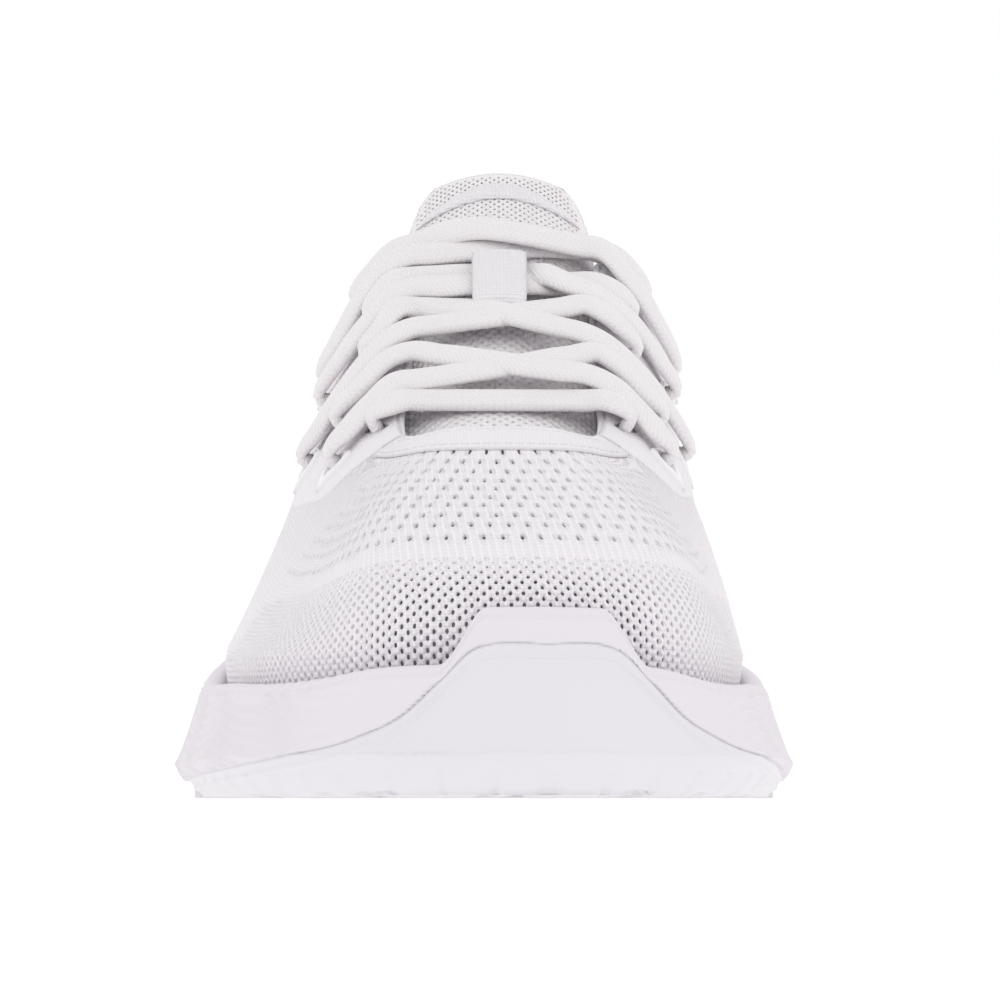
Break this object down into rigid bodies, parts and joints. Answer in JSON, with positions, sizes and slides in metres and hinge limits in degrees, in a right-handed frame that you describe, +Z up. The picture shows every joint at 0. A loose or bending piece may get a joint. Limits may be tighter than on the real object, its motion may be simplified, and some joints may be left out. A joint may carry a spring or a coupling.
{
  "type": "running shoe",
  "caption": "White low-cut right running shoe with a knit mesh upper, padded tongue and collar, crossed lacing, a flared foam sole and rubber that wraps over the toe.",
  "frame": {"origin": "bottom centre of the shoe's box, on the ground it stands on", "axes": "-Y from heel to toe, +X towards the medial side of this right shoe, +Z up"},
  "size_m": [0.107, 0.2919, 0.1176],
  "materials": {
    "foam": "matte moulded foam",
    "rubber": "smooth moulded rubber",
    "board": "non-woven board",
    "sockliner": "brushed textile on foam",
    "knit": "engineered knit mesh",
    "stiffener": "thermoplastic sheet",
    "lining": "soft lining textile",
    "padding": "open-cell foam",
    "overlay": "glossy thermoplastic film",
    "webbing": "woven webbing",
    "lace": "flat woven cord",
    "aglet": "clear plastic sleeve"
  },
  "bodies": {
    "shoe": {"midsole": "foam", "outsole_forefoot": "rubber", "outsole_heel_lateral": "rubber", "outsole_heel_medial": "rubber", "strobel_board": "board", "insole": "sockliner", "upper_knit": "knit", "vamp_lining": "lining", "heel_counter": "stiffener", "collar_foam": "padding", "collar_lining": "lining", "heel_clip": "overlay", "throat_band": "overlay", "eyestay_medial": "overlay", "eyestay_lateral": "overlay", "lace": "lace", "aglet_left": "aglet", "aglet_right": "aglet"},
    "forefoot": {"outsole_toe": "rubber", "toe_puff": "stiffener"},
    "tongue": {"tongue_face": "knit", "tongue_foam": "padding", "tongue_lining": "lining", "tongue_label": "overlay", "lace_keeper": "webbing"}
  },
  "joints": [
    {"name": "forefoot_flex", "type": "hinge", "parent": "shoe", "child": "forefoot", "pos_m": [0, -0.057, 0.015], "axis": [-1, 0, 0], "range_deg": [0, 20], "stiffness_Nm_per_rad": 8, "deforming": ["midsole", "upper_knit", "vamp_lining", "strobel_board", "insole"]},
    {"name": "tongue_tilt", "type": "hinge", "parent": "shoe", "child": "tongue", "pos_m": [0, -0.058, 0.054], "axis": [-1, 0, 0], "range_deg": [0, 9], "stiffness_Nm_per_rad": 1.5, "deforming": ["lace"]}
  ]
}
